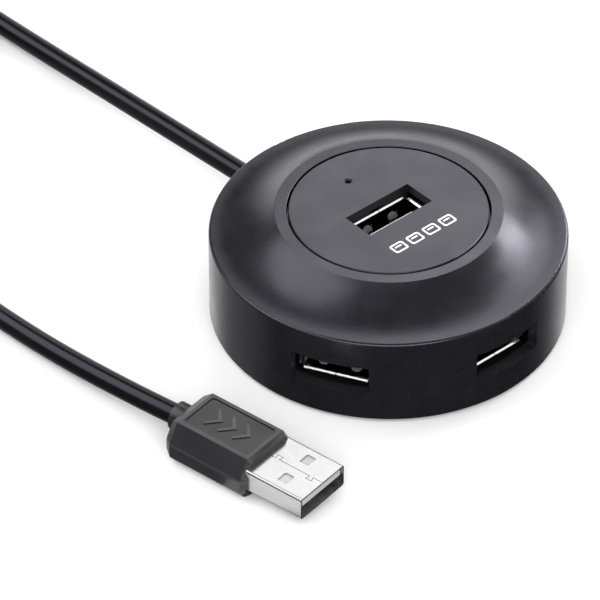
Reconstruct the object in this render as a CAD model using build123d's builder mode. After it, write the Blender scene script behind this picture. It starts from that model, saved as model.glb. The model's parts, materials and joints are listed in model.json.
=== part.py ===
from build123d import *
from math import cos, pi, radians, sin, tan
import os

# Round four-port USB hub with a captive lead and its plug.
# Millimetres, +Z up, origin under the hub's centre at the height of the rubber feet.
# The front socket faces -Y and the lead leaves towards +Y.

# ---- Housing ----
HUB_R = 32.5
WALL = 2.2
FLOOR_GAP = 0.6            # the feet hold the housing this far off the table
RIM_Z = 17.85              # top of the straight side wall
RIM_FILLET = 0.5
COLLAR_R = 20.65           # sharp outer edge of the raised ring
COLLAR_Z = 22.4
TOP_Z = 22.5               # flat top disc
RECESS_R = 18.45
DISC_R = 18.1
DISC_T = 1.7
CAVITY_TOP_Z = 19.3
CAVITY_RIM_Z = 15.6
CAVITY_FLARE_R = 20.0
EDGE_SOFT = 0.12           # moulded edges that look sharp

# ---- Base, feet and screws ----
BASE_T = 2.0
BASE_R = 30.15
FOOT_R = 4.0
FOOT_T = 1.2
FOOT_FIT = 0.15
FOOT_CIRCLE = 23.5
FOOT_ANGLES = (0, 90, 180, 270)
SCREW_CIRCLE = 25.0
SCREW_ANGLES = (30, 150, 239.5, 300.5)
BOSS_R = 2.6
SCREW_R = 1.1
SCREW_END_Z = 9.5
HEAD_R = 2.1
HEAD_T = 1.0
HEAD_SINK = 1.25
CROSS_L = 2.4
CROSS_W = 0.5

# ---- Circuit board ----
BOARD_Z = 4.4
BOARD_T = 1.6
BOARD_R = 27.0
POST_R = 1.75
POST_PLACES = ((-9, -8), (9, -8), (-17, 14), (17, 14))
BOARD_TOP = BOARD_Z + BOARD_T
LEAD_NOTCH = (11.0, 6.0)   # cut in the board's edge beside the lead
CRYSTAL_AT = (-11.5, 12.5)
CRYSTAL_SIZE = (11.0, 4.4, 3.4)
CRYSTAL_END_R = 2.1
CAPACITORS_AT = ((-4.5, 8.5), (4.5, 5.5), (-7.5, 7.5), (14.5, 6.5), (8, 17.5))
CAPACITOR_SIZE = (2.0, 1.25, 0.9)
RESISTORS_AT = ((-3.5, 12.0), (3.5, 14.5), (-5.5, 17.0), (5.0, 20.0), (12.5, 17.5))
RESISTOR_SIZE = (1.6, 0.8, 0.5)
CHIP_AT = (10.5, 11.0)
CHIP_L = 10.0
CHIP_W = 3.9
CHIP_T = 1.4
CHIP_GAP = 0.1             # between the chip's body and the board
PIN_PITCH = 1.27
PIN_ROWS = 4.9
PINS_PER_ROW = 7
PIN_SIZE = (0.42, 1.3)
PIN_T = 0.25
CAN_AT = (-15.5, 5.0)
CAN_R = 2.5
CAN_H = 5.4
LED_Y = 11.0
LED_SIZE = (1.6, 0.8, 0.7)
LED_HOLE_R = 0.55
LED_HOLE_BEVEL = 0.25
PIPE_R = 1.15
PIPE_GAP = 1.2             # between the light pipe and the board
PIPE_FLANGE_R = 1.85
PIPE_FLANGE_T = 0.8

# ---- USB type A sockets ----
PORT_Z = 9.2               # middle of the side sockets
PORT_ANGLE = 61            # between neighbouring side sockets
MOUTH_R = 28.6             # mouth plane of a side socket, from the hub's axis
TOP_MOUTH_Z = 20.6
OPENING_W = 14.6
OPENING_H = 6.0
OPENING_CORNER = 0.45
SLOT_L = 14.9
SLOT_W = 6.54
SHEET = 0.3                # metal of the socket shells
SHELL_W = 13.1
SHELL_H = 5.72
SHELL_CORNER = 0.9
SHELL_LEN = 14.0
FLARE_LEN = 0.25           # the mouth's lips turn outwards at 45 degrees
FLARE = 0.25
LIP_LONG = 12.0
LIP_SHORT = 4.0
SEAM_W = 0.16
WINDOW_W = 2.9
WINDOW_ROUND = 1.3
WINDOW_NEAR = 1.6          # distance from the mouth to the rounded end of a spring window
WINDOW_FAR = 6.0
LEAF_W = 2.1
LEAF_X = 3.05
LEAF_BULGE = 0.55
LEAF_ROUND = 0.95
LEAF_CREST_R = 0.8
LEG_W = 1.8
LEG_AT = 8.0               # side socket's legs, behind the mouth
TONGUE_W = 11.1
TONGUE_LOW = 0.06          # the contact face lies just beyond the socket's middle plane
TONGUE_T = 1.84
TONGUE_BACK = 1.35         # tongue's front edge behind the mouth
BLOCK_FRONT = 9.3
CONTACT_X = (-3.5, -1.0, 1.0, 3.5)
CONTACT_W = 1.0
CONTACT_T = 0.2
CONTACT_TIP = 2.2          # distances behind the mouth
CONTACT_TOUCH = 3.9
CONTACT_FOOT = 5.6
CONTACT_END = 12.6
CONTACT_LIFT = 0.3         # the touch point stands this far off the tongue
TAIL_W = 0.6
TAIL_T = 0.3
LEG_EXTRA = 0.6            # legs and tails reach this far under the board

# ---- Lead ----
CORD_D = 4.0
CORD_SEAT = 0.5            # the lead's ends sit this deep in the strain relief and the plug's collar
EXIT_Z = 6.9
EXIT_HOLE_R = 3.3
RELIEF_IN_Y = 27.4
RELIEF_TIP_Y = 38.5
# Strain relief from inside to tip: flange, neck through the wall, two grooves (distance from axis, radius).
RELIEF_PROFILE = [
    (RELIEF_IN_Y, 4.2), (29.85, 4.2), (29.85, 3.2), (33.2, 3.2), (34.0, 3.0), (34.0, 2.5), (34.7, 2.5),
    (34.7, 2.9), (36.0, 2.75), (36.0, 2.4), (36.7, 2.4), (36.7, 2.7), (RELIEF_TIP_Y, 2.5),
]
COIL_CENTRE = (-27.8, 131.7)
COIL_IN_R = 14.4
COIL_OUT_R = 29.6
COIL_H = 8.0
COIL_ROUND = 1.9
TIE_W = 6.0
TIE_T = 0.5
TIE_H = 8.6
TIE_ROUND = 2.4
HUB_ROUTE = [(0, RELIEF_TIP_Y - CORD_SEAT, EXIT_Z), (0, 72, 4.3), (-0.5, 106, 2.0), (-1.8, 133, 2.0)]
PLUG_ROUTE = [(-55.3, 133, 6.0), (-56.6, 104, 2.6), (-57.6, 72, 2.0), (-56.6, 38, 2.0), (-53.9, 12.8, 3.0)]

# ---- Plug ----
PLUG_AT = (-48.0, -22.2)
PLUG_HEADING = -80.0       # degrees from +X, the way the plug points
PLUG_W = 12.0
PLUG_H = 4.5
PLUG_LEN = 12.0
PLUG_IN = 3.0              # part of the metal shell inside the grip
PLUG_CORNER = 0.5
PLUG_WINDOW = (2.0, 2.4)
PLUG_WINDOW_AT = 6.3       # from the grip
PLUG_WINDOW_CORNER = 0.3
# The folded sheet's dovetailed joint: one offset line along the middle of the plug's top.
JOINT_LINE = [(1.6, 0), (1.3, 0.9), (2.6, 0.9), (2.3, 0), (9.2, 0), (8.9, -0.9), (10.2, -0.9), (9.9, 0)]
JOINT_W = 0.12
INSULATOR_T = 1.95
INSULATOR_END = 0.5        # plastic and contacts stop this short of the plug's mouth
CONTACT_STOP = 1.6
GRIP_LEN = 18.2
GRIP_H = 8.2
GRIP_W = 14.5
GRIP_TOP_W = 9.8           # flat top
GRIP_SOLE_W = 11.9         # flat underside
GRIP_SHOULDER_Y = 0.2      # height of the widest line's upper end, from the plug's axis
GRIP_HIP = 0.63            # its lower end, as a part of half the height
GRIP_EDGE_R = 0.35
GRIP_SHOULDER_R = 1.5
GRIP_HIP_R = 0.7
GRIP_REAR = 1.5            # bevel round the cable end of the grip
GRIP_REAR_INSET = 1.0
GRIP_FRONT = 0.8
GRIP_FRONT_INSET = 0.6
GRIP_COLLAR_R = 2.75
GRIP_COLLAR_LEN = 2.6
PANEL_SINK = 0.18
PANEL_BORDER = 0.8
PANEL_CORNER = 0.6
MARK_STEP = 3.2            # between the raised arrow marks
MARK_REACH = 1.0
MARK_HALF_W = 2.2
MARK_STROKE = 0.6
PLUG_Z = GRIP_H / 2

os.makedirs("parts", exist_ok=True)


def save(piece, name):
    """Label a finished sub-part and write its STEP file."""
    piece.label = name
    export_step(piece, f"parts/{name}.step")


def ring_points(radius, angles, z=0.0):
    """Points on a circle about the hub's axis."""
    return [(radius * cos(radians(a)), radius * sin(radians(a)), z) for a in angles]


def side_port(angle):
    """Plane in the mouth of a side socket: x across, y up, z outwards; angle is from -Y towards +X."""
    out = Vector(sin(radians(angle)), -cos(radians(angle)), 0)
    across = Vector(cos(radians(angle)), sin(radians(angle)), 0)
    return Plane(origin=out * MOUTH_R + Vector(0, 0, PORT_Z), x_dir=across, z_dir=out)


SIDE_PORTS = {"left": side_port(-PORT_ANGLE), "front": side_port(0), "right": side_port(PORT_ANGLE)}
TOP_PORT = Plane(origin=(0, 0, TOP_MOUTH_Z), x_dir=(-1, 0, 0), z_dir=(0, 0, 1))


# ======== USB type A sockets ========
# Built once about the mouth plane: x across, +y the tongue's side, +z out of the mouth.

INNER_W = SHELL_W - 2 * SHEET
INNER_H = SHELL_H - 2 * SHEET


def spring_leaf(side):
    """One retention spring of the long wall on the given side (+1 or -1), centred on x = 0."""
    wall_out = side * SHELL_H / 2
    wall_in = side * INNER_H / 2
    bulge = side * LEAF_BULGE
    root = -WINDOW_FAR - 0.4       # stations along the leaf, behind the mouth
    knee = -WINDOW_FAR + 0.3
    crest = -WINDOW_NEAR - 1.6
    tip = -WINDOW_NEAR - 0.3
    with BuildPart() as leaf:
        with BuildSketch(Plane.YZ) as outline:
            with BuildLine():
                Polyline(
                    (wall_out, root), (wall_out, knee), (wall_out - bulge, crest),
                    (wall_out - 0.2 * bulge, tip), (wall_in - 0.2 * bulge, tip),
                    (wall_in - bulge, crest), (wall_in, knee), (wall_in, root), close=True,
                )
            make_face()
            crests = outline.vertices().filter_by(lambda v: abs(v.Y - crest) < 0.01)
            fillet(crests, LEAF_CREST_R)
        extrude(amount=LEAF_W / 2, both=True)
        with BuildSketch(Plane.XZ):
            with Locations((0, tip - SHELL_LEN / 2)):
                RectangleRounded(LEAF_W, SHELL_LEN, LEAF_ROUND)
        extrude(amount=SHELL_H, both=True, mode=Mode.INTERSECT)
    return leaf.part


def socket_shell(upright):
    """Folded sheet shell: flared mouth, seam on the -y wall, two springs in each long wall, solder legs."""
    with BuildPart() as shell:
        with BuildSketch(Plane.XY.offset(-SHELL_LEN)):
            RectangleRounded(SHELL_W, SHELL_H, SHELL_CORNER)
            RectangleRounded(INNER_W, INNER_H, SHELL_CORNER - SHEET, mode=Mode.SUBTRACT)
        extrude(amount=SHELL_LEN - FLARE_LEN)
        for side in (-1, 1):
            with BuildSketch(Plane.YZ):
                with BuildLine():
                    Polyline(
                        (side * INNER_H / 2, -FLARE_LEN), (side * (INNER_H / 2 + FLARE), 0),
                        (side * (SHELL_H / 2 + FLARE), 0), (side * SHELL_H / 2, -FLARE_LEN), close=True,
                    )
                make_face()
            extrude(amount=LIP_LONG / 2, both=True)
            with BuildSketch(Plane.XZ):
                with BuildLine():
                    Polyline(
                        (side * INNER_W / 2, -FLARE_LEN), (side * (INNER_W / 2 + FLARE), 0),
                        (side * (SHELL_W / 2 + FLARE), 0), (side * SHELL_W / 2, -FLARE_LEN), close=True,
                    )
                make_face()
            extrude(amount=LIP_SHORT / 2, both=True)
        window_mid = -(WINDOW_NEAR + WINDOW_FAR) / 2
        with BuildSketch(Plane.XZ):
            with Locations((-LEAF_X, window_mid), (LEAF_X, window_mid)):
                RectangleRounded(WINDOW_W, WINDOW_FAR - WINDOW_NEAR, WINDOW_ROUND)
        extrude(amount=SHELL_H, both=True, mode=Mode.SUBTRACT)
        with BuildSketch(Plane.XY):
            with Locations((0, -SHELL_H / 2)):
                Rectangle(SEAM_W, 4 * SHEET)
        extrude(amount=-SHELL_LEN, mode=Mode.SUBTRACT)
        with Locations((-LEAF_X, 0, 0), (LEAF_X, 0, 0)):
            add(spring_leaf(1))
            add(spring_leaf(-1))
        leg_x = SHELL_W / 2 - SHEET / 2
        if upright:
            leg_len = TOP_MOUTH_Z - BOARD_Z + LEG_EXTRA - SHELL_LEN
            leg_mid = -SHELL_LEN - leg_len / 2 + 0.5
            with Locations((-leg_x, 0, leg_mid), (leg_x, 0, leg_mid)):
                Box(SHEET, LEG_W, leg_len + 1)
        else:
            with BuildSketch(Plane.XY.offset(-SHELL_LEN)):
                RectangleRounded(SHELL_W, SHELL_H, SHELL_CORNER)
            extrude(amount=SHEET)
            with Locations((0, -SHELL_H / 2, -(BLOCK_FRONT + SHELL_LEN) / 2)):
                Box(2 * CONTACT_X[3] + 3, 3 * SHEET, SHELL_LEN - BLOCK_FRONT + 1, mode=Mode.SUBTRACT)
            leg_end = PORT_Z - BOARD_Z + LEG_EXTRA
            with Locations((-leg_x, -leg_end / 2 - 0.5, -LEG_AT), (leg_x, -leg_end / 2 - 0.5, -LEG_AT)):
                Box(SHEET, leg_end - 1, LEG_W)
    return shell.part


def socket_contacts(upright):
    """Four contact strips under the tongue, each with its raised touch point and its solder tail."""
    with BuildPart() as contacts:
        low = TONGUE_LOW - CONTACT_T
        for x in CONTACT_X:
            with BuildSketch(Plane.YZ.offset(x)):
                with BuildLine():
                    Polyline(
                        (TONGUE_LOW, -CONTACT_TIP), (low, -CONTACT_TIP), (low - CONTACT_LIFT, -CONTACT_TOUCH),
                        (low, -CONTACT_FOOT), (low, -CONTACT_END), (TONGUE_LOW, -CONTACT_END), close=True,
                    )
                make_face()
            extrude(amount=CONTACT_W / 2, both=True)
            if upright:
                tail = TOP_MOUTH_Z - BOARD_Z + LEG_EXTRA
                tail_top = CONTACT_END - 2 * TAIL_W
                with Locations((x, TONGUE_LOW - CONTACT_T / 2, -(tail_top + tail) / 2)):
                    Box(TAIL_W, CONTACT_T, tail - tail_top)
            else:
                tail = PORT_Z - BOARD_Z + LEG_EXTRA
                with Locations((x, -tail / 2, TAIL_T / 2 - CONTACT_END)):
                    Box(TAIL_W, tail, TAIL_T)
    return contacts.part


def socket_insulator(contacts, upright):
    """Rear block with the tongue, moulded round the contacts."""
    block_end = SHELL_LEN if upright else SHELL_LEN - SHEET
    with BuildPart() as insulator:
        with BuildSketch(Plane.XY.offset(-block_end)):
            RectangleRounded(INNER_W, INNER_H, SHELL_CORNER - SHEET)
        extrude(amount=block_end - BLOCK_FRONT)
        with BuildSketch(Plane.XY.offset(-BLOCK_FRONT - 0.5)):
            with Locations((0, TONGUE_LOW + TONGUE_T / 2)):
                Rectangle(TONGUE_W, TONGUE_T)
        extrude(amount=BLOCK_FRONT + 0.5 - TONGUE_BACK)
        tongue_tip = insulator.faces().sort_by(Axis.Z)[-1]
        chamfer(tongue_tip.edges(), 0.15)
        add(contacts, mode=Mode.SUBTRACT)
    return insulator.part


board_cutters = []
for upright in (False, True):
    shell_part = socket_shell(upright)
    contact_part = socket_contacts(upright)
    insulator_part = socket_insulator(contact_part, upright)
    places = {"top": TOP_PORT} if upright else SIDE_PORTS
    for port, plane in places.items():
        placed_shell = plane.location * shell_part
        placed_contacts = plane.location * contact_part
        save(placed_shell, f"socket_shell_{port}")
        save(placed_contacts, f"socket_contacts_{port}")
        save(plane.location * insulator_part, f"socket_insulator_{port}")
        board_cutters += [placed_shell, placed_contacts]


# ======== Housing ========
BASE_Z = FLOOR_GAP
BASE_TOP = BASE_Z + BASE_T
RECESS_Z = TOP_Z - DISC_T
BOSSES = ring_points(SCREW_CIRCLE, SCREW_ANGLES)
FEET = ring_points(FOOT_CIRCLE, FOOT_ANGLES)

# The hollow inside the cover, with the screw bosses left standing in it.
with BuildPart() as cavity:
    with BuildSketch(Plane.XZ):
        with BuildLine():
            Polyline((0, CAVITY_TOP_Z), (0, BASE_Z), (HUB_R - WALL, BASE_Z), (HUB_R - WALL, CAVITY_RIM_Z))
            flare = TangentArc((HUB_R - WALL, CAVITY_RIM_Z), (CAVITY_FLARE_R, CAVITY_TOP_Z), tangent=(-1, 0))
            Line(flare @ 1, (0, CAVITY_TOP_Z))
        make_face()
    revolve(axis=Axis.Z)
    with BuildSketch(Plane.XY.offset(BASE_TOP)):
        with Locations(*BOSSES):
            Circle(BOSS_R)
    extrude(amount=TOP_Z, mode=Mode.SUBTRACT)

with BuildPart() as top_cover:
    with BuildSketch(Plane.XZ) as outline:
        with BuildLine():
            Polyline((0, RECESS_Z), (0, BASE_Z), (HUB_R, BASE_Z), (HUB_R, RIM_Z))
            flare = TangentArc((HUB_R, RIM_Z), (COLLAR_R, COLLAR_Z), tangent=(-1, 0.03))
            Polyline(flare @ 1, (RECESS_R, TOP_Z), (RECESS_R, RECESS_Z), (0, RECESS_Z))
        make_face()
        fillet(outline.vertices().sort_by_distance((HUB_R, RIM_Z))[0], RIM_FILLET)
        fillet(outline.vertices().sort_by_distance((HUB_R, BASE_Z))[0], RIM_FILLET / 2)
        fillet(outline.vertices().sort_by_distance((COLLAR_R, COLLAR_Z))[0], EDGE_SOFT)
        fillet(outline.vertices().sort_by_distance((RECESS_R, TOP_Z))[0], EDGE_SOFT)
    revolve(axis=Axis.Z)
    add(cavity.part, mode=Mode.SUBTRACT)
    # slot for the top socket and hole for the light pipe, through the recess floor
    with BuildSketch(Plane.XY.offset(CAVITY_TOP_Z)):
        Rectangle(SLOT_L, SLOT_W)
        with Locations((0, LED_Y)):
            Circle(PIPE_R + 0.15)
    extrude(amount=DISC_T, mode=Mode.SUBTRACT)
    # side openings in front of the sockets
    for plane in SIDE_PORTS.values():
        with BuildSketch(plane):
            RectangleRounded(OPENING_W, OPENING_H, OPENING_CORNER)
        extrude(amount=HUB_R, mode=Mode.SUBTRACT)
    # hole for the lead's strain relief
    with BuildSketch(Plane.XZ.offset(-HUB_R - 1)):
        with Locations((0, EXIT_Z)):
            Circle(EXIT_HOLE_R)
    extrude(amount=WALL + 3, mode=Mode.SUBTRACT)
    # pilot holes in the bosses
    with BuildSketch(Plane.XY.offset(BASE_TOP)):
        with Locations(*BOSSES):
            Circle(SCREW_R + 0.05)
    extrude(amount=SCREW_END_Z + 0.5 - BASE_TOP, mode=Mode.SUBTRACT)
save(top_cover.part, "top_cover")

with BuildPart() as top_disc:
    with BuildSketch(Plane.XY.offset(RECESS_Z)):
        Circle(DISC_R)
        Rectangle(SLOT_L, SLOT_W, mode=Mode.SUBTRACT)
        with Locations((0, LED_Y)):
            Circle(LED_HOLE_R, mode=Mode.SUBTRACT)
    extrude(amount=DISC_T)
    top_face = top_disc.faces().sort_by(Axis.Z)[-1]
    rim_edge = top_face.edges().filter_by(GeomType.CIRCLE).sort_by(SortBy.RADIUS)[-1]
    led_edge = top_face.edges().filter_by(GeomType.CIRCLE).sort_by(SortBy.RADIUS)[0]
    slot_edges = top_face.edges().filter_by(GeomType.LINE)
    fillet(rim_edge, 1.5 * EDGE_SOFT)
    fillet(slot_edges, EDGE_SOFT / 2)
    chamfer(led_edge, 0.25)
save(top_disc.part, "top_disc")

with BuildPart() as base_plate:
    with BuildSketch(Plane.XY.offset(BASE_Z)):
        Circle(BASE_R)
    extrude(amount=BASE_T)
    with BuildSketch(Plane.XY.offset(BASE_TOP)):
        with Locations(*POST_PLACES):
            Circle(POST_R)
    extrude(amount=BOARD_Z - BASE_TOP)
    with BuildSketch(Plane.XY.offset(BASE_Z)):
        with Locations(*FEET):
            Circle(FOOT_R + FOOT_FIT)
    extrude(amount=FOOT_T - FLOOR_GAP, mode=Mode.SUBTRACT)
    with BuildSketch(Plane.XY.offset(BASE_Z)):
        with Locations(*BOSSES):
            Circle(HEAD_R + 0.2)
    extrude(amount=HEAD_SINK, mode=Mode.SUBTRACT)
    with BuildSketch(Plane.XY.offset(BASE_Z)):
        with Locations(*BOSSES):
            Circle(SCREW_R + 0.2)
    extrude(amount=BASE_T, mode=Mode.SUBTRACT)
save(base_plate.part, "base_plate")

for number, place in enumerate(FEET, start=1):
    with BuildPart() as foot:
        with BuildSketch(Plane.XY):
            with Locations(place):
                Circle(FOOT_R)
        extrude(amount=FOOT_T)
        chamfer(foot.faces().sort_by(Axis.Z)[0].edges(), 0.25)
    save(foot.part, f"rubber_foot_{number}")

with BuildPart() as case_screws:
    head_z = BASE_Z + HEAD_SINK - HEAD_T
    with BuildSketch(Plane.XY.offset(head_z)):
        with Locations(*BOSSES):
            Circle(HEAD_R)
    extrude(amount=HEAD_T)
    with BuildSketch(Plane.XY.offset(head_z)):
        with Locations(*BOSSES):
            Circle(SCREW_R)
    extrude(amount=SCREW_END_Z - head_z)
    with BuildSketch(Plane.XY.offset(head_z)):
        with Locations(*BOSSES):
            Rectangle(CROSS_L, CROSS_W)
            Rectangle(CROSS_W, CROSS_L)
    extrude(amount=0.6 * HEAD_T, mode=Mode.SUBTRACT)
save(case_screws.part, "case_screws")


# ======== Electronics ========
with BuildPart() as main_board:
    with BuildSketch(Plane.XY.offset(BOARD_Z)):
        Circle(BOARD_R)
        with Locations(*BOSSES):
            Circle(BOSS_R + 0.4, mode=Mode.SUBTRACT)
        with Locations((0, BOARD_R)):
            Rectangle(*LEAD_NOTCH, mode=Mode.SUBTRACT)
    extrude(amount=BOARD_T)
    for cutter in board_cutters:
        add(cutter, mode=Mode.SUBTRACT)
save(main_board.part, "main_board")


def board_box(name, places, size, soft=0.0):
    """Small parts standing on the board, one solid at each place."""
    length, width, height = size
    with BuildPart() as parts:
        with BuildSketch(Plane.XY.offset(BOARD_TOP)):
            with Locations(*places):
                Rectangle(length, width)
        extrude(amount=height)
        if soft:
            fillet(parts.edges().filter_by(Axis.Z), soft)
    save(parts.part, name)


board_box("crystal", [CRYSTAL_AT], CRYSTAL_SIZE, soft=CRYSTAL_END_R)
board_box("board_capacitors", CAPACITORS_AT, CAPACITOR_SIZE)
board_box("board_resistors", RESISTORS_AT, RESISTOR_SIZE)
board_box("power_led", [(0, LED_Y)], LED_SIZE)

with BuildPart() as hub_chip:
    with BuildSketch(Plane.XY.offset(BOARD_TOP + CHIP_GAP)):
        with Locations(CHIP_AT):
            Rectangle(CHIP_L, CHIP_W)
    extrude(amount=CHIP_T)
    with BuildSketch(Plane.XY.offset(BOARD_TOP)):
        with Locations(CHIP_AT):
            with GridLocations(PIN_PITCH, PIN_ROWS, PINS_PER_ROW, 2):
                Rectangle(*PIN_SIZE)
    extrude(amount=PIN_T)
save(hub_chip.part, "hub_controller_chip")

with BuildPart() as filter_can:
    with BuildSketch(Plane.XY.offset(BOARD_TOP)):
        with Locations(CAN_AT):
            Circle(CAN_R)
    extrude(amount=CAN_H)
    fillet(filter_can.edges().filter_by(GeomType.CIRCLE).sort_by(Axis.Z)[-1], 0.4)
save(filter_can.part, "filter_capacitor")

with BuildPart() as light_pipe:
    with BuildSketch(Plane.XY.offset(BOARD_TOP + PIPE_GAP)):
        with Locations((0, LED_Y)):
            Circle(PIPE_R)
    extrude(amount=RECESS_Z - BOARD_TOP - PIPE_GAP)
    with BuildSketch(Plane.XY.offset(CAVITY_TOP_Z - PIPE_FLANGE_T - 0.1)):
        with Locations((0, LED_Y)):
            Circle(PIPE_FLANGE_R)
    extrude(amount=PIPE_FLANGE_T)
save(light_pipe.part, "light_pipe")


# ======== Lead ========
# The four wires fan out from the lead's end to solder pads in a row on the board.
WIRE_R = 0.5
WIRE_END_Y = 21.0
WIRE_BEND_R = 0.5
WIRE_SIDE = 0.75           # in the lead: two above, two below, left and right of its axis
WIRE_RISE = 0.75
WIRE_DROP = -0.4
WIRE_STRAIGHT = 1.8
WIRE_HUMP = 0.6
WIRE_LANDING = 1.2
PAD_PITCH = 2.4
WIRES = {"red": (1, 1, 2), "white": (-1, 1, 1), "green": (1, -1, 3), "black": (-1, -1, 0)}
for colour, (side, level, pad_number) in WIRES.items():
    start = (WIRE_SIDE * side, RELIEF_IN_Y, EXIT_Z + (WIRE_RISE if level > 0 else WIRE_DROP))
    pad_x = PAD_PITCH * (pad_number - 1.5)
    with BuildPart() as wire:
        with BuildLine() as path:
            FilletPolyline(
                start, (start[0], RELIEF_IN_Y - WIRE_STRAIGHT, start[2]),
                (pad_x, WIRE_END_Y + WIRE_LANDING, start[2] + WIRE_HUMP),
                (pad_x, WIRE_END_Y, BOARD_TOP + WIRE_LANDING), (pad_x, WIRE_END_Y, BOARD_TOP),
                radius=WIRE_BEND_R,
            )
        with BuildSketch(Plane(origin=start, z_dir=(0, -1, 0))):
            Circle(WIRE_R)
        sweep(path=path.line)
    save(wire.part, f"wire_{colour}")


def arc_radii(points):
    """Largest natural radius at each corner: 0.45 of the shorter run over the tangent of half the turn."""
    radii = []
    for before, here, after in zip(points, points[1:], points[2:]):
        arrive = Vector(*here) - Vector(*before)
        leave = Vector(*after) - Vector(*here)
        half_turn = radians(arrive.get_angle(leave)) / 2
        radii.append(0.45 * min(arrive.length, leave.length) / tan(half_turn))
    return radii


def cord_tube(name, points):
    """Round tube along straight runs joined by tangent arcs."""
    radii = arc_radii(points)
    with BuildPart() as tube:
        with BuildLine():
            path = FilletPolyline(*points, radius=radii)
        with BuildSketch(Plane(origin=path @ 0, z_dir=path % 0)):
            Circle(CORD_D / 2)
        sweep(path=path)
    expected = pi * CORD_D**2 / 4 * path.length
    print(name, "arc radii", [round(r, 1) for r in radii], "length", round(path.length, 2))
    print(name, "volume", round(tube.part.volume, 1), "section x length", round(expected, 1))
    save(tube.part, name)
    return tube.part


heading = Vector(cos(radians(PLUG_HEADING)), sin(radians(PLUG_HEADING)), 0)
across = Vector(-sin(radians(PLUG_HEADING)), cos(radians(PLUG_HEADING)), 0)
plug_origin = Vector(PLUG_AT[0], PLUG_AT[1], PLUG_Z)
cord_end = plug_origin - heading * (GRIP_LEN + GRIP_COLLAR_LEN - CORD_SEAT)
hub_tube = cord_tube("cord_hub_run", HUB_ROUTE)
plug_tube = cord_tube("cord_plug_run", PLUG_ROUTE + [tuple(cord_end)])

with BuildPart() as strain_relief:
    with BuildSketch(Plane.YZ):
        with BuildLine():
            Polyline(
                (RELIEF_IN_Y, EXIT_Z), *[(y, EXIT_Z + radius) for y, radius in RELIEF_PROFILE],
                (RELIEF_TIP_Y, EXIT_Z), close=True,
            )
        make_face()
    revolve(axis=Axis((0, 0, EXIT_Z), (0, 1, 0)))
    add(hub_tube, mode=Mode.SUBTRACT)
save(strain_relief.part, "strain_relief")

# The tie is a soft strap round the bundle of turns, across the coil's far side.
coil_mid_r = (COIL_IN_R + COIL_OUT_R) / 2
tie_length = COIL_OUT_R - COIL_IN_R + 2
tie_plane = Plane(
    origin=(COIL_CENTRE[0], COIL_CENTRE[1] + coil_mid_r, TIE_H / 2), x_dir=(0, 1, 0), z_dir=(1, 0, 0),
)
with BuildPart() as cord_tie:
    with BuildSketch(tie_plane.offset(-TIE_W / 2)):
        RectangleRounded(tie_length, TIE_H, TIE_ROUND)
        RectangleRounded(tie_length - 2 * TIE_T, TIE_H - 2 * TIE_T, TIE_ROUND - TIE_T, mode=Mode.SUBTRACT)
    extrude(amount=TIE_W)
save(cord_tie.part, "cord_tie")

# The wound length as one ring, cut where the two runs and the strap pass through it.
with BuildPart() as cord_coil:
    coil_plane = Plane(origin=(*COIL_CENTRE, 0), x_dir=(1, 0, 0), z_dir=(0, -1, 0))
    with BuildSketch(coil_plane):
        with Locations((coil_mid_r, COIL_H / 2)):
            RectangleRounded(COIL_OUT_R - COIL_IN_R, COIL_H, COIL_ROUND)
    revolve(axis=Axis((*COIL_CENTRE, 0), (0, 0, 1)))
    for cutter in (hub_tube, plug_tube, cord_tie.part):
        add(cutter, mode=Mode.SUBTRACT)
save(cord_coil.part, "cord_coil")


# ======== Plug ========
# z along the plug towards its tip, x across, y up.
PLUG = Plane(origin=plug_origin, x_dir=across, z_dir=heading)
# Looking down on the plug's top: x along the plug.
PLUG_TOP = Plane(origin=plug_origin, x_dir=heading, z_dir=(0, 0, 1))

with BuildPart() as plug_shell:
    with BuildSketch(PLUG.offset(-PLUG_IN)):
        RectangleRounded(PLUG_W, PLUG_H, PLUG_CORNER)
        RectangleRounded(PLUG_W - 2 * SHEET, PLUG_H - 2 * SHEET, PLUG_CORNER / 2, mode=Mode.SUBTRACT)
    extrude(amount=PLUG_IN + PLUG_LEN)
    with BuildSketch(PLUG_TOP):
        with Locations((PLUG_WINDOW_AT, -LEAF_X), (PLUG_WINDOW_AT, LEAF_X)):
            RectangleRounded(*PLUG_WINDOW, PLUG_WINDOW_CORNER)
    extrude(amount=PLUG_H, both=True, mode=Mode.SUBTRACT)
    with BuildSketch(PLUG_TOP.offset(PLUG_H / 2 - 1.5 * SHEET)):
        with BuildLine():
            Polyline((-PLUG_IN, 0), *JOINT_LINE, (PLUG_LEN + 0.5, 0))
        trace(line_width=JOINT_W)
    extrude(amount=2 * SHEET, mode=Mode.SUBTRACT)
save(plug_shell.part, "plug_shell")

with BuildPart() as plug_insulator:
    with BuildSketch(PLUG.offset(-PLUG_IN)):
        with Locations((0, PLUG_H / 2 - SHEET - INSULATOR_T / 2)):
            RectangleRounded(PLUG_W - 3 * SHEET, INSULATOR_T, 0.3)
    extrude(amount=PLUG_IN + PLUG_LEN - INSULATOR_END)
save(plug_insulator.part, "plug_insulator")

with BuildPart() as plug_contacts:
    for x in CONTACT_X:
        with BuildSketch(PLUG.offset(-PLUG_IN)):
            with Locations((x, -CONTACT_T / 2)):
                Rectangle(CONTACT_W, CONTACT_T)
        extrude(amount=PLUG_IN + PLUG_LEN - CONTACT_STOP)
save(plug_contacts.part, "plug_contacts")

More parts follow.
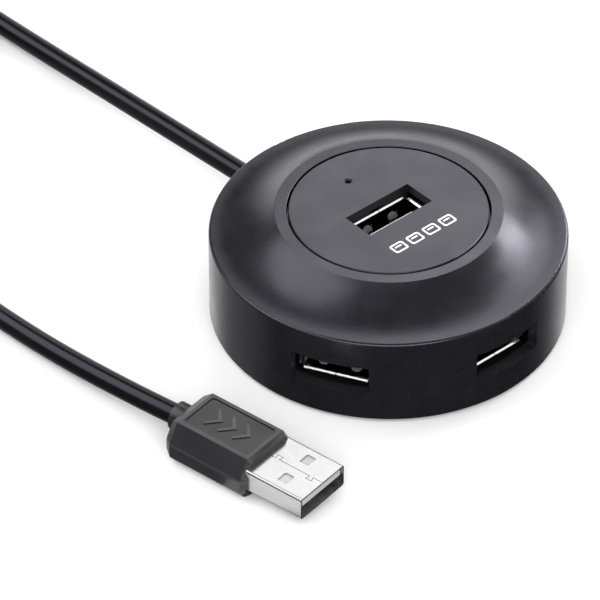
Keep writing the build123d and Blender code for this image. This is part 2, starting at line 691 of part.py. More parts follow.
def grip_section(along, inset):
    """Cross-section of the grip, drawn smaller by the inset: flat top, fuller towards its flat underside."""
    top = GRIP_TOP_W / 2 - 0.6 * inset
    sole = GRIP_SOLE_W / 2 - 0.6 * inset
    half_h = GRIP_H / 2 - inset
    half_w = GRIP_W / 2 - inset
    hip_y = -GRIP_HIP * half_h
    with BuildSketch(PLUG.offset(along)) as section:
        with BuildLine():
            Polyline(
                (-sole, -half_h), (sole, -half_h), (half_w, hip_y), (half_w, GRIP_SHOULDER_Y),
                (top, half_h), (-top, half_h), (-half_w, GRIP_SHOULDER_Y), (-half_w, hip_y), close=True,
            )
        make_face()
        fillet(section.vertices().filter_by(lambda v: v.Y > half_h - 0.1), GRIP_EDGE_R)
        fillet(section.vertices().filter_by(lambda v: abs(v.Y - GRIP_SHOULDER_Y) < 0.1), GRIP_SHOULDER_R)
        fillet(section.vertices().filter_by(lambda v: abs(v.Y - hip_y) < 0.1), GRIP_HIP_R)
    return section.sketch


rear_small = grip_section(-GRIP_LEN, GRIP_REAR_INSET)
rear_full = grip_section(-GRIP_LEN + GRIP_REAR, 0)
front_full = grip_section(-GRIP_FRONT, 0)
front_small = grip_section(0, GRIP_FRONT_INSET)
with BuildPart() as plug_grip:
    loft([rear_small, rear_full])
    loft([rear_full, front_full])
    loft([front_full, front_small])
    with BuildSketch(PLUG.offset(-GRIP_LEN - GRIP_COLLAR_LEN)):
        Circle(GRIP_COLLAR_R)
    extrude(amount=GRIP_COLLAR_LEN + 1)
    with BuildSketch(PLUG.offset(-PLUG_IN)):
        RectangleRounded(PLUG_W, PLUG_H, PLUG_CORNER)
    extrude(amount=PLUG_IN, mode=Mode.SUBTRACT)
    add(plug_tube, mode=Mode.SUBTRACT)
    # sunken panel on the flat top, with three raised arrow marks pointing to the tip
    panel_mid = -(GRIP_LEN - GRIP_REAR + GRIP_FRONT) / 2
    with BuildSketch(PLUG_TOP.offset(GRIP_H / 2 - PANEL_SINK)):
        with Locations((panel_mid, 0)):
            RectangleRounded(
                GRIP_LEN - GRIP_REAR - GRIP_FRONT - 2 * PANEL_BORDER, GRIP_TOP_W - 2 * PANEL_BORDER,
                PANEL_CORNER,
            )
    extrude(amount=1, mode=Mode.SUBTRACT)
    for step in (-1, 0, 1):
        with BuildSketch(PLUG_TOP.offset(GRIP_H / 2 - PANEL_SINK)):
            mark_x = panel_mid + MARK_STEP * step
            with BuildLine():
                Polyline(
                    (mark_x - MARK_REACH, -MARK_HALF_W), (mark_x + MARK_REACH, 0),
                    (mark_x - MARK_REACH, MARK_HALF_W),
                )
            trace(line_width=MARK_STROKE)
        extrude(amount=PANEL_SINK)
save(plug_grip.part, "plug_grip")
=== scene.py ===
import bpy
import bmesh
import json
from math import atan2, cos, pi, radians, sin
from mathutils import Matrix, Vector


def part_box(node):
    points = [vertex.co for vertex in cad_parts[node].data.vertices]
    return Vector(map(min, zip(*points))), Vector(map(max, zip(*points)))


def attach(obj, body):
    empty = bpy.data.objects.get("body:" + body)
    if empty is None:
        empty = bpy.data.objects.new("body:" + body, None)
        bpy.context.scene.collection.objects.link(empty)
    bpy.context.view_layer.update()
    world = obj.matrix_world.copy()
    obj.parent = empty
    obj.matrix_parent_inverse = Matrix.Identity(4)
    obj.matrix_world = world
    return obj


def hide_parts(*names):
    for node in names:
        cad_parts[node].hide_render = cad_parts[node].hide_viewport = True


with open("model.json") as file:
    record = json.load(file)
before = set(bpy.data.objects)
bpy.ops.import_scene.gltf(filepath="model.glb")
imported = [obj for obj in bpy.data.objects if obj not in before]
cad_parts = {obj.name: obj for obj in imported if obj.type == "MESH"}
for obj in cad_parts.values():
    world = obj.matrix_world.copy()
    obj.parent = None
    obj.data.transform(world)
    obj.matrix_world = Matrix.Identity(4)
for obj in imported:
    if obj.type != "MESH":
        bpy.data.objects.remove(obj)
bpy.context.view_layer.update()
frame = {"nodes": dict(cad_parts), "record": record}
nodes = frame["nodes"]
MM = 0.001


# ======== Camera ========
CAMERA_AT = (-0.5190, -0.5670, 0.6379)
CAMERA_AIM = (-0.01095, 0.011745, 0.0)
LENS_MM = 328.34
SENSOR_MM = 36.0

camera_data = bpy.data.cameras.new("camera")
camera_data.lens = LENS_MM
camera_data.sensor_width = SENSOR_MM
camera = bpy.data.objects.new("camera", camera_data)
camera.location = CAMERA_AT
line_of_sight = Vector(CAMERA_AIM) - Vector(CAMERA_AT)
camera.rotation_euler = line_of_sight.to_track_quat("-Z", "Y").to_euler()
bpy.context.scene.collection.objects.link(camera)
bpy.context.scene.camera = camera


# ======== Cord ========
# The lead runs from the hub to a wound coil and on to the plug; millimetres, as the CAD route.
CORD_D = 4.0
HUB_ROUTE = [(0, 38.0, 6.9), (0, 72, 4.3), (-0.5, 106, 2.0), (-1.8, 133, 2.0)]
PLUG_ROUTE = [
    (-55.3, 133, 6.0), (-56.6, 104, 2.6), (-57.6, 72, 2.0), (-56.6, 38, 2.0), (-53.9, 12.8, 3.0),
]
PLUG_COLLAR = (-51.525, -2.208, 4.1)
COIL_CENTRE = (-27.8, 131.7)
FULL_TURNS = 5
POINTS_PER_TURN = 16
WIND_IN_TURNS = 2.0        # the lower layer winds inwards
CLIMB_TURNS = 0.6          # then the cord climbs onto it
ENTRY_R = 26.0
INNER_R = 18.0
TOP_INNER_R = 16.5
EXIT_R = 27.55
COIL_LOW_Z = CORD_D / 2
COIL_TOP_Z = CORD_D * 1.5
CORD_SECTION_STEPS = 6
CORD_STEPS_PER_POINT = 8


def coil_angle(point):
    """Angle of a point about the coil's centre."""
    return atan2(point[1] - COIL_CENTRE[1], point[0] - COIL_CENTRE[0])


def coil_points():
    """Control points of the wound turns, between the two runs."""
    start = coil_angle(HUB_ROUTE[-1])
    turns = FULL_TURNS + (coil_angle(PLUG_ROUTE[0]) - start) / (2 * pi)
    turns_out = turns - WIND_IN_TURNS - CLIMB_TURNS
    swell = 1 / cos(pi / POINTS_PER_TURN)      # control points stand outside the curve they make
    count = round(turns * POINTS_PER_TURN)
    points = []
    for i in range(1, count):
        turn = turns * i / count
        climb = min(max((turn - WIND_IN_TURNS) / CLIMB_TURNS, 0), 1)
        if turn < WIND_IN_TURNS:
            radius = ENTRY_R + (INNER_R - ENTRY_R) * turn / WIND_IN_TURNS
        elif climb < 1:
            radius = INNER_R + (TOP_INNER_R - INNER_R) * climb
        else:
            outward = (turn - WIND_IN_TURNS - CLIMB_TURNS) / turns_out
            radius = TOP_INNER_R + (EXIT_R - TOP_INNER_R) * outward
        height = COIL_LOW_Z + (COIL_TOP_Z - COIL_LOW_Z) * (1 - cos(pi * climb)) / 2
        angle = start + 2 * pi * turn
        points.append((
            COIL_CENTRE[0] + radius * swell * cos(angle),
            COIL_CENTRE[1] + radius * swell * sin(angle),
            height,
        ))
    return points


def cord_curve(name, points, diameter):
    """Round cord along one open NURBS spline; points and diameter in millimetres."""
    curve = bpy.data.curves.new(name, "CURVE")
    curve.dimensions = "3D"
    curve.bevel_depth = diameter / 2       # scaled by each point's radius
    curve.bevel_resolution = CORD_SECTION_STEPS
    curve.use_fill_caps = True
    spline = curve.splines.new("NURBS")
    spline.points.add(len(points) - 1)
    for control, point in zip(spline.points, points):
        control.co = (*(Vector(point) * MM), 1)
        control.radius = MM
    spline.order_u = 3
    spline.use_endpoint_u = True
    spline.resolution_u = CORD_STEPS_PER_POINT
    cord = bpy.data.objects.new(name, curve)
    bpy.context.scene.collection.objects.link(cord)
    return cord


lead = cord_curve("lead", HUB_ROUTE + coil_points() + PLUG_ROUTE + [PLUG_COLLAR], CORD_D)
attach(lead, "root")
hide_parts("cord_hub_run", "cord_plug_run", "cord_coil")


# ======== Materials ========
NOISE_LOW, NOISE_HIGH = 0.3, 0.7       # noise rarely goes past these
WEAR_FROM, WEAR_TO = 0.52, 0.60        # pointiness: 0.5 on a flat face and more on a convex edge
WAVE_SCALE = 0.314                     # a wave texture of this scale repeats once in a unit
WALL_TILT = (0.01, 0.03)               # a face is upright up to the first of these
WALL_FACING = (0.88, 0.90)             # a face looks outwards past the second of these
OPENING_ROUGHNESS = 0.6
GLOSS_MM = 6.0                         # size of the patches where a moulding's gloss varies
BLOTCH_MM = 3.0                        # size of flow marks and stains
FLOW_TINT = 1.25                       # flow marks are this much lighter
STAIN_TINT = 0.93                      # stains are this much darker
ROLLED_GLOSS_MM = 0.8
ROLLED_LINE_MM = 0.2
FINISHES = {}                          # by material slot


class Finish:
    """A principled material whose variation comes from textures in the object's own frame."""

    def __init__(self, name, colour, roughness, metallic=0.0, specular=0.5, tint=None):
        FINISHES[name] = self
        self.material = bpy.data.materials.new(name)
        self.material.use_nodes = True
        self.tree = self.material.node_tree
        self.shader = self.tree.nodes["Principled BSDF"]
        self.shader.inputs["Base Color"].default_value = (*colour, 1)
        self.shader.inputs["Roughness"].default_value = roughness
        self.shader.inputs["Metallic"].default_value = metallic
        self.shader.inputs["Specular IOR Level"].default_value = specular
        if tint:
            self.shader.inputs["Specular Tint"].default_value = (*tint, 1)
        self.colour = colour
        self.place = self.tree.nodes.new("ShaderNodeTexCoord").outputs["Object"]

    def stretched(self, stretch):
        """The object's coordinates with each axis scaled, for grain that runs one way."""
        mapping = self.tree.nodes.new("ShaderNodeMapping")
        mapping.inputs["Scale"].default_value = stretch
        self.tree.links.new(self.place, mapping.inputs["Vector"])
        return mapping.outputs["Vector"]

    def noise(self, size_mm, detail=2.0, stretch=None):
        """Noise from 0 to 1 whose blotches are about this size."""
        noise = self.tree.nodes.new("ShaderNodeTexNoise")
        noise.inputs["Scale"].default_value = 1 / (size_mm * MM)
        noise.inputs["Detail"].default_value = detail
        place = self.stretched(stretch) if stretch else self.place
        self.tree.links.new(place, noise.inputs["Vector"])
        return noise.outputs["Fac"]

    def cells(self, size_mm):
        """Distance to the nearest of scattered points this far apart, for pits and grains."""
        cells = self.tree.nodes.new("ShaderNodeTexVoronoi")
        cells.inputs["Scale"].default_value = 1 / (size_mm * MM)
        self.tree.links.new(self.place, cells.inputs["Vector"])
        return cells.outputs["Distance"]

    def waves(self, size_mm, axis, distortion=0.0):
        """Parallel bands of this spacing across an axis."""
        waves = self.tree.nodes.new("ShaderNodeTexWave")
        waves.bands_direction = axis
        waves.inputs["Scale"].default_value = WAVE_SCALE / (size_mm * MM)
        waves.inputs["Distortion"].default_value = distortion
        self.tree.links.new(self.place, waves.inputs["Vector"])
        return waves.outputs["Fac"]

    def spread(self, value, low, high, from_low=NOISE_LOW, from_high=NOISE_HIGH):
        """The value remapped to run from low to high."""
        spread = self.tree.nodes.new("ShaderNodeMapRange")
        spread.inputs["From Min"].default_value = from_low
        spread.inputs["From Max"].default_value = from_high
        spread.inputs["To Min"].default_value = low
        spread.inputs["To Max"].default_value = high
        self.tree.links.new(value, spread.inputs["Value"])
        return spread.outputs["Result"]

    def roughness(self, value, low, high):
        """Roughness that varies between the two limits."""
        self.tree.links.new(self.spread(value, low, high), self.shader.inputs["Roughness"])

    def mottle(self, value, other, from_low=NOISE_LOW, from_high=NOISE_HIGH):
        """Base colour that drifts from the material's own colour to the other one."""
        mix = self.tree.nodes.new("ShaderNodeMix")
        mix.data_type = "RGBA"
        base = self.shader.inputs["Base Color"]
        if base.is_linked:
            self.tree.links.new(base.links[0].from_socket, mix.inputs["A"])
        else:
            mix.inputs["A"].default_value = (*self.colour, 1)
        mix.inputs["B"].default_value = (*other, 1)
        self.tree.links.new(self.spread(value, 0, 1, from_low, from_high), mix.inputs["Factor"])
        self.tree.links.new(mix.outputs["Result"], base)

    def maths(self, operation, *values):
        """Result of one maths node; each value is a number or another node's output."""
        node = self.tree.nodes.new("ShaderNodeMath")
        node.operation = operation
        for socket, value in zip(node.inputs, values):
            if isinstance(value, (int, float)):
                socket.default_value = value
            else:
                self.tree.links.new(value, socket)
        return node.outputs["Value"]

    def height(self):
        """Height above the table, in millimetres."""
        split = self.tree.nodes.new("ShaderNodeSeparateXYZ")
        self.tree.links.new(self.place, split.inputs["Vector"])
        return self.maths("DIVIDE", split.outputs["Z"], MM)

    def outwards(self):
        """Level direction away from the hub's axis, and the distance from it in millimetres."""
        flatten = self.tree.nodes.new("ShaderNodeVectorMath")
        flatten.operation = "MULTIPLY"
        flatten.inputs[1].default_value = (1, 1, 0)
        radial = self.tree.nodes.new("ShaderNodeVectorMath")
        radial.operation = "NORMALIZE"
        reach = self.tree.nodes.new("ShaderNodeVectorMath")
        reach.operation = "LENGTH"
        self.tree.links.new(self.place, flatten.inputs[0])
        self.tree.links.new(flatten.outputs["Vector"], radial.inputs[0])
        self.tree.links.new(flatten.outputs["Vector"], reach.inputs[0])
        return radial.outputs["Vector"], self.maths("DIVIDE", reach.outputs["Value"], MM)

    def facing(self, direction):
        """How squarely the surface faces a direction, from 0 edge-on to 1, whichever its side."""
        geometry = self.tree.nodes.new("ShaderNodeNewGeometry")
        dot = self.tree.nodes.new("ShaderNodeVectorMath")
        dot.operation = "DOT_PRODUCT"
        self.tree.links.new(geometry.outputs["True Normal"], dot.inputs[0])
        if isinstance(direction, tuple):
            dot.inputs[1].default_value = direction
        else:
            self.tree.links.new(direction, dot.inputs[1])
        return self.maths("ABSOLUTE", dot.outputs["Value"])

    def below(self, top, blend):
        """1 under this height and 0 above it, in millimetres, with a short blend between them."""
        return self.spread(self.height(), 1, 0, top - blend, top)

    def dull(self, least):
        """Roughness no lower than the given value."""
        rough = self.shader.inputs["Roughness"]
        self.tree.links.new(self.maths("MAXIMUM", rough.links[0].from_socket, least), rough)

    def dull_inside(self, inside, colour):
        """Matt surface where the mask is 1, drawn to the given colour: painted shade where it is
        darker, as deep in an opening.
        """
        self.mottle(inside, colour, 0, 1)
        self.dull(self.maths("MULTIPLY", inside, OPENING_ROUGHNESS))

    def round_wall(self):
        """True round shading on the upright wall, whose facets run up to the openings."""
        radial, _ = self.outwards()
        geometry = self.tree.nodes.new("ShaderNodeNewGeometry")
        upright = self.spread(self.facing((0, 0, 1)), 1, 0, *WALL_TILT)
        wall = self.maths("MULTIPLY", upright, self.spread(self.facing(radial), 0, 1, *WALL_FACING))
        mix = self.tree.nodes.new("ShaderNodeMix")
        mix.data_type = "VECTOR"
        self.tree.links.new(wall, mix.inputs["Factor"])
        self.tree.links.new(geometry.outputs["Normal"], mix.inputs["A"])
        self.tree.links.new(radial, mix.inputs["B"])
        self.tree.links.new(mix.outputs["Result"], self.shader.inputs["Normal"])

    def worn_edges(self, other):
        """Lighter colour on convex edges, as where a hand rubs them."""
        geometry = self.tree.nodes.new("ShaderNodeNewGeometry")
        self.mottle(geometry.outputs["Pointiness"], other, WEAR_FROM, WEAR_TO)

    def bump(self, height, depth_mm):
        """Relief of this depth, added on top of any relief already there."""
        bump = self.tree.nodes.new("ShaderNodeBump")
        bump.inputs["Strength"].default_value = 1.0
        bump.inputs["Distance"].default_value = depth_mm * MM
        self.tree.links.new(height, bump.inputs["Height"])
        normal = self.shader.inputs["Normal"]
        if normal.is_linked:
            self.tree.links.new(normal.links[0].from_socket, bump.inputs["Normal"])
        self.tree.links.new(bump.outputs["Normal"], normal)


def moulded(name, colour, rough_low, rough_high, grain_mm, depth_mm,
            specular=0.5, tint=None, wall=False):
    """Moulded plastic: spark-eroded grain, faint flow mottling and uneven gloss."""
    finish = Finish(name, colour, rough_low, specular=specular, tint=tint)
    if wall:
        finish.round_wall()
    finish.roughness(finish.noise(GLOSS_MM, detail=5.0), rough_low, rough_high)
    finish.mottle(finish.noise(BLOTCH_MM, detail=3.0), tuple(FLOW_TINT * c for c in colour))
    finish.bump(finish.noise(grain_mm, detail=1.0), depth_mm)
    return finish


def plated(name, colour, rough_low, rough_high, stretch, depth_mm=0.0006):
    """Plated sheet metal: fine rolling lines one way, faint stains and handling marks."""
    finish = Finish(name, colour, rough_low, metallic=1.0)
    gloss = finish.noise(ROLLED_GLOSS_MM, detail=4.0, stretch=stretch)
    finish.roughness(gloss, rough_low, rough_high)
    finish.mottle(finish.noise(BLOTCH_MM, detail=3.0), tuple(STAIN_TINT * c for c in colour))
    finish.bump(finish.noise(ROLLED_LINE_MM, stretch=stretch), depth_mm)
    return finish


# Places where a finish or its painted shade changes, in millimetres.
MOUTH_R = 28.25            # the side sockets' lips lie beyond this distance from the hub's axis
MOUTH_Z = 20.3             # the top socket's lips lie above this height
OPENINGS_TOP_Z = 12.4      # the side openings lie below this height
DISC_FACE_Z = 22.46        # the disc's slot and light hole lie below this height
GRIP_FACE_Z = 8.12         # the grip's sunken panel lies below this height
MOUTH_BLEND = 0.1
DISC_BLEND = 0.08
GRIP_BLEND = 0.05

SPRING_FACING = (0.06, 0.2)            # a spring's slope faces the mouth past the second of these
SPRING_ROUGHNESS = 0.55
OPENING_FACING = (0.5, 0.6)            # an opening's own sides face outwards less than the first
PANEL_FACING = (0.97, 0.98)            # the panel's floor faces upwards past the second
PANEL_DULLNESS = 0.56


def socket_painted_shade(finish):
    """Masks of the painted shade behind a socket's lips, less the springs' slopes, and of those
    slopes.
    """
    radial, reach = finish.outwards()
    in_top_socket = finish.maths("GREATER_THAN", finish.height(), OPENINGS_TOP_Z + 1)
    in_side_socket = finish.maths("SUBTRACT", 1, in_top_socket)
    shade = finish.maths(
        "MINIMUM", finish.spread(reach, 1, 0, MOUTH_R - MOUTH_BLEND, MOUTH_R),
        finish.below(MOUTH_Z, MOUTH_BLEND),
    )
    slope = finish.maths(
        "ADD", finish.maths("MULTIPLY", finish.facing((0, 0, 1)), in_top_socket),
        finish.maths("MULTIPLY", finish.facing(radial), in_side_socket),
    )
    spring = finish.maths("MULTIPLY", shade, finish.spread(slope, 0, 1, *SPRING_FACING))
    return finish.maths("SUBTRACT", shade, spring), spring


# Bluish tint on the plastics' reflections: painted colour of the light, as the lamps are white.
PAINTED_LIGHT_TINT = (0.86, 0.83, 1.0)
# Near-black painted shade for the insides of the openings and of the disc's slot.
PAINTED_SLOT_SHADE = (0.002, 0.002, 0.002)

housing = moulded("housing", (0.009, 0.009, 0.011), 0.25, 0.31, 0.22, 0.0016, 0.8, PAINTED_LIGHT_TINT, wall=True)
radial, _ = housing.outwards()
# Painted shade: the sides of the side openings are darkened and made matt.
shaded_opening = housing.maths(
    "MULTIPLY", housing.spread(housing.facing(radial), 1, 0, *OPENING_FACING),
    housing.below(OPENINGS_TOP_Z, MOUTH_BLEND),
)
housing.dull_inside(shaded_opening, PAINTED_SLOT_SHADE)

disc = moulded("disc", (0.010, 0.010, 0.012), 0.28, 0.35, 0.20, 0.0016, 0.8, PAINTED_LIGHT_TINT)
disc.worn_edges((0.036, 0.036, 0.040))
# Painted shade in the disc's slot and light hole, below the disc's face.
disc.dull_inside(disc.below(DISC_FACE_Z, DISC_BLEND), PAINTED_SLOT_SHADE)

jacket = moulded("cord_jacket", (0.004, 0.004, 0.005), 0.20, 0.27, 0.35, 0.002, 0.45, PAINTED_LIGHT_TINT)
jacket.bump(jacket.noise(9.0, detail=1.0), 0.03)

grip = moulded("grip", (0.004, 0.004, 0.005), 0.30, 0.38, 0.16, 0.003, 0.65)
in_panel = grip.maths(
    "MULTIPLY", grip.spread(grip.facing((0, 0, 1)), 0, PANEL_DULLNESS, *PANEL_FACING),
    grip.below(GRIP_FACE_Z, GRIP_BLEND),
)
grip.dull_inside(in_panel, (0.005, 0.005, 0.006))
grip.worn_edges((0.045, 0.045, 0.050))

socket_metal = plated("socket_metal", (0.90, 0.90, 0.89), 0.16, 0.24, (1, 1, 8))
shade, spring = socket_painted_shade(socket_metal)
# Painted shade: the socket metal is darkened behind the lips, and the springs' slopes are left
# bright.
socket_metal.mottle(shade, (0.035, 0.035, 0.035), 0, 1)
socket_metal.dull(socket_metal.maths("MULTIPLY", spring, SPRING_ROUGHNESS))

contact = plated("contact", (0.70, 0.52, 0.24), 0.18, 0.30, (1, 5, 1))
# Painted shade on the contacts behind the sockets' lips.
contact.mottle(socket_painted_shade(contact)[0], (0.05, 0.04, 0.02), 0, 1)

white_plastic = moulded("socket_insulator", (0.80, 0.80, 0.78), 0.30, 0.38, 0.3, 0.004)
# Painted shade on the white insulators behind the sockets' lips.
white_plastic.mottle(socket_painted_shade(white_plastic)[0], (0.03, 0.03, 0.03), 0, 1)

board = moulded("board", (0.008, 0.010, 0.009), 0.22, 0.34, 0.5, 0.003)
board.bump(board.waves(1.2, axis="X"), 0.02)

plated("plug_metal", (0.56, 0.56, 0.56), 0.26, 0.34, (1, 8, 1), 0.0002)
plated("screw", (0.10, 0.10, 0.105), 0.30, 0.45, (1, 1, 4))
plated("crystal_can", (0.74, 0.74, 0.76), 0.22, 0.36, (1, 1, 5))

# Slot: colour, least and greatest roughness, then the grain's size and depth in millimetres.
PLASTICS = {
    "base": ((0.014, 0.014, 0.016), 0.5, 0.62, 0.35, 0.012),
    "foot": ((0.012, 0.012, 0.013), 0.68, 0.82, 0.30, 0.010, 0.3),
    # The plug insulator's grey is partly its own light grey, darkened as painted shade in the
    # shell's windows and mouth.
    "plug_insulator": ((0.36, 0.37, 0.39), 0.38, 0.48, 0.3, 0.004),
    "chip": ((0.016, 0.016, 0.017), 0.45, 0.6, 0.12, 0.006),
    "ceramic_chip": ((0.42, 0.31, 0.20), 0.4, 0.5, 0.1, 0.003),
    "led": ((0.80, 0.80, 0.74), 0.2, 0.3, 0.3, 0.002),
    "wire_red": ((0.45, 0.012, 0.010), 0.35, 0.45, 0.3, 0.004),
    "wire_white": ((0.75, 0.75, 0.72), 0.35, 0.45, 0.3, 0.004),
    "wire_green": ((0.01, 0.22, 0.04), 0.35, 0.45, 0.3, 0.004),
    "wire_black": ((0.012, 0.012, 0.012), 0.35, 0.45, 0.3, 0.004),
    "ink": ((0.78, 0.78, 0.79), 0.45, 0.55, 0.15, 0.003),
}
for slot, look in PLASTICS.items():
    moulded(slot, *look)

# Near-black colour on the clear light pipe: painted shade down the disc's light hole.
shaded_light_pipe = Finish("clear_plastic", (0.004, 0.004, 0.005), 0.18)
shaded_light_pipe.shader.inputs["Transmission Weight"].default_value = 0.3
shaded_light_pipe.shader.inputs["IOR"].default_value = 1.58
shaded_light_pipe.roughness(shaded_light_pipe.noise(0.8, detail=3.0), 0.12, 0.26)
shaded_light_pipe.bump(shaded_light_pipe.noise(0.4), 0.004)

strap = Finish("strap", (0.012, 0.012, 0.013), 0.85)
strap.shader.inputs["Sheen Weight"].default_value = 0.35
strap.mottle(strap.noise(0.5, detail=3.0), (0.030, 0.030, 0.032))
strap.bump(strap.cells(0.35), 0.12)
strap.bump(strap.waves(0.45, axis="X", distortion=0.6), 0.10)


def paint(piece, finish):
    """Gives the whole piece one material."""
    piece.data.materials.clear()
    piece.data.materials.append(finish.material)


for part in frame["record"]["subparts"]:
    paint(nodes[part["node"]], FINISHES[part["material_slot"]])
paint(lead, jacket)


# ======== Printed mark on the disc ========
# Four small socket outlines in a row, one for each port, in front of the top slot; millimetres.
INK_T = 0.02
MARKS = 4
MARK_LENGTH = 14.6
MARK_HEIGHT = 2.4
MARK_GAP = 0.9
MARK_CORNER = 0.5
MARK_Y = -9.2
STROKE = 0.36
TONGUE_CORNER = 0.15
CORNER_STEPS = 6
TONGUE_RISE = 0.25         # the short bar stands this far behind the middle of its outline


def rounded_outline(width, height, corner):
    """Points round a rounded rectangle about the origin, counter-clockwise."""
    points = []
    corners = ((1, 1, 0), (-1, 1, 1), (-1, -1, 2), (1, -1, 3))
    for side_x, side_y, quarter in corners:
        centre = (side_x * (width / 2 - corner), side_y * (height / 2 - corner))
        for step in range(CORNER_STEPS + 1):
            angle = (quarter + step / CORNER_STEPS) * pi / 2
            points.append(
                (centre[0] + corner * cos(angle), centre[1] + corner * sin(angle)))
    return points


def add_plate(mesh, outer, inner, low, high, at):
    """Flat ring between two outlines, or a solid plate where there is no inner one."""
    rows = [outer] + ([inner] if inner else [])
    rings = {}
    for row, outline in enumerate(rows):
        for level, z in enumerate((low, high)):
            rings[row, level] = [mesh.verts.new((at[0] + x, at[1] + y, z)) for x, y in outline]

    def join(ring, other, i, j):
        mesh.faces.new((ring[i], ring[j], other[j], other[i]))

    count = len(outer)
    for i in range(count):
        j = (i + 1) % count
        for row in range(len(rows)):
            join(rings[row, 0], rings[row, 1], i, j)
        if inner:
            for level in (0, 1):
                join(rings[0, level], rings[1, level], i, j)
    if not inner:
        for level in (0, 1):
            mesh.faces.new(rings[0, level])


top_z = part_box("top_disc")[1].z / MM
mark_mesh = bmesh.new()
mark_width = (MARK_LENGTH - (MARKS - 1) * MARK_GAP) / MARKS
outline = rounded_outline(mark_width, MARK_HEIGHT, MARK_CORNER)
hole = rounded_outline(
    mark_width - 2 * STROKE, MARK_HEIGHT - 2 * STROKE, MARK_CORNER - STROKE / 2)
tongue = rounded_outline(mark_width - 4 * STROKE, STROKE, TONGUE_CORNER)
for number in range(MARKS):
    mark_x = (number - (MARKS - 1) / 2) * (mark_width + MARK_GAP)
    add_plate(mark_mesh, outline, hole, top_z, top_z + INK_T, (mark_x, MARK_Y))
    add_plate(mark_mesh, tongue, None, top_z, top_z + INK_T, (mark_x, MARK_Y + TONGUE_RISE))
bmesh.ops.recalc_face_normals(mark_mesh, faces=mark_mesh.faces)
bmesh.ops.scale(mark_mesh, vec=(MM, MM, MM), verts=mark_mesh.verts)
mark_data = bpy.data.meshes.new("printed_mark")
mark_mesh.to_mesh(mark_data)
printed_mark = bpy.data.objects.new("printed_mark", mark_data)
bpy.context.scene.collection.objects.link(printed_mark)
paint(printed_mark, FINISHES["ink"])
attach(printed_mark, "root")


# ======== Floor, light and world ========
FLOOR_REACH = 6.0          # metres, from the middle to an edge
CARD_WIDTH = 12.0          # millimetres
CARD_LIFT = 0.05           # millimetres above the floor

floor_finish = Finish("floor", (0.86, 0.86, 0.86), 0.8, specular=0.1)


def flat_sheet(name, half_x, half_y, at):
    """Level rectangle of floor material, in metres."""
    mesh = bmesh.new()
    bmesh.ops.create_grid(mesh, x_segments=1, y_segments=1, size=1)
    bmesh.ops.scale(mesh, vec=(half_x, half_y, 1), verts=mesh.verts)
    data = bpy.data.meshes.new(name)
    mesh.to_mesh(data)
    sheet = bpy.data.objects.new(name, data)
    sheet.location = at
    bpy.context.scene.collection.objects.link(sheet)
    paint(sheet, floor_finish)
    return sheet


floor = flat_sheet("floor", FLOOR_REACH, FLOOR_REACH, (0, 0, 0))
floor.visible_glossy = False

# The floor right beside the plug's metal, seen only in its side: the far floor isn't reflected.
shell_low, shell_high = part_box("plug_shell")
card_half = CARD_WIDTH / 2 * MM
card = flat_sheet(
    "plug_card", card_half, (shell_high.y - shell_low.y) / 2,
    (shell_low.x - card_half, (shell_high.y + shell_low.y) / 2, CARD_LIFT * MM),
)
card.visible_camera = False
card.visible_diffuse = False
card.visible_shadow = False


SOFTBOX_DISTANCE = 1.6     # metres
AWAY = radians(48.7)       # azimuth of the camera's line of sight


def softbox(name, azimuth, elevation, width, height, radiance):
    """Area light that faces the hub; azimuth is to the left of the line of sight, in degrees."""
    light = bpy.data.lights.new(name, "AREA")
    light.shape = "RECTANGLE"
    light.size = width
    light.size_y = height
    light.energy = 4 * radiance * width * height
    lamp = bpy.data.objects.new(name, light)
    a, e = AWAY + radians(azimuth), radians(elevation)
    lamp.location = SOFTBOX_DISTANCE * Vector((cos(a) * cos(e), sin(a) * cos(e), sin(e)))
    lamp.rotation_euler = (-lamp.location).to_track_quat("-Z", "Y").to_euler()
    bpy.context.scene.collection.objects.link(lamp)


# Tall panels behind the hub and to its right, a small one that lights the top socket's far lip, a
# big one to the left and one behind the camera.
softbox("back_panel_low", -2, 36, 0.45, 0.7, 0.83)
softbox("back_panel_high", -2, 48, 0.45, 0.7, 1.13)
softbox("back_panel_inner", -14, 48, 0.45, 0.7, 0.70)
softbox("right_panel_high", -34, 41, 0.5, 0.8, 2.2)
softbox("right_panel_middle", -50, 30, 0.5, 0.8, 3.7)
softbox("right_panel_low", -50, 18, 0.5, 0.8, 2.8)
softbox("side_panel", -75, 14, 0.7, 0.6, 0.66)
softbox("lip_light", -100, 35, 0.42, 0.42, 1.1)
softbox("left_panel", 84, 48, 1.4, 1.4, 1.72)
softbox("front_panel", 180, 35, 1.8, 1.0, 2.84)


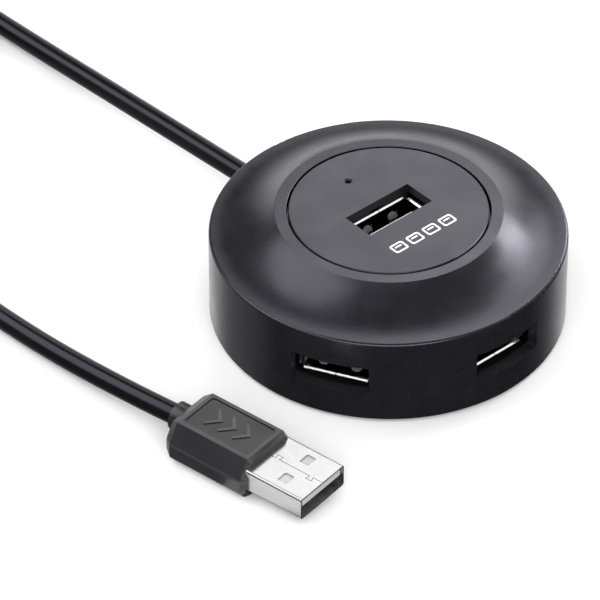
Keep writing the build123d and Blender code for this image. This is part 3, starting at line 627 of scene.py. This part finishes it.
TENT = 0.65                        # brightness of the soft light from above
TENT_EDGE = (-0.1, 0.1)            # it comes in across the horizon
ROOM = 0.01                        # brightness of what is reflected overhead
GLOW_TOP = (0.0, 0.42)             # the glow fades upwards between these, as the sine of the height
CORE = (0.42, 0.78, 0.95)          # glow behind the hub: where it starts, is full, how bright
SKIRT = (0.0, 0.4, 0.28)           # the wider glow round it, likewise
SKIRT_TURN = radians(15)           # turned this far to the left


def studio_world():
    """Pale tent for soft light; in reflections a dark room with a low glow behind the hub."""
    world = bpy.data.worlds.new("studio")
    world.use_nodes = True
    tree = world.node_tree
    direction = tree.nodes.new("ShaderNodeTexCoord").outputs["Generated"]

    def along(axis):
        dot = tree.nodes.new("ShaderNodeVectorMath")
        dot.operation = "DOT_PRODUCT"
        dot.inputs[1].default_value = axis
        tree.links.new(direction, dot.inputs[0])
        return dot.outputs["Value"]

    def ramp(value, from_low, from_high, to_high=1.0):
        spread = tree.nodes.new("ShaderNodeMapRange")
        spread.interpolation_type = "SMOOTHSTEP"
        spread.inputs["From Min"].default_value = from_low
        spread.inputs["From Max"].default_value = from_high
        spread.inputs["To Max"].default_value = to_high
        tree.links.new(value, spread.inputs["Value"])
        return spread.outputs["Result"]

    def mixed(factor, low, high):
        mix = tree.nodes.new("ShaderNodeMix")
        mix.data_type = "RGBA"
        tree.links.new(factor, mix.inputs["Factor"])
        for name, colour in (("A", low), ("B", high)):
            if isinstance(colour, float):
                mix.inputs[name].default_value = (colour, colour, colour, 1)
            else:
                tree.links.new(colour, mix.inputs[name])
        return mix.outputs["Result"]

    aside = AWAY + SKIRT_TURN
    glow = tree.nodes.new("ShaderNodeMath")
    glow.operation = "ADD"
    tree.links.new(ramp(along((cos(AWAY), sin(AWAY), 0)), *CORE), glow.inputs[0])
    tree.links.new(ramp(along((cos(aside), sin(aside), 0)), *SKIRT), glow.inputs[1])
    upwards = along((0, 0, 1))
    room = mixed(ramp(upwards, *GLOW_TOP), glow.outputs["Value"], ROOM)
    tent = mixed(ramp(upwards, *TENT_EDGE), 0.0, TENT)
    diffuse_ray = tree.nodes.new("ShaderNodeLightPath").outputs["Is Diffuse Ray"]
    tree.links.new(mixed(diffuse_ray, room, tent), tree.nodes["Background"].inputs["Color"])
    bpy.context.scene.world = world


studio_world()
bpy.context.scene.view_settings.view_transform = "Standard"
bpy.context.scene.view_settings.look = "None"
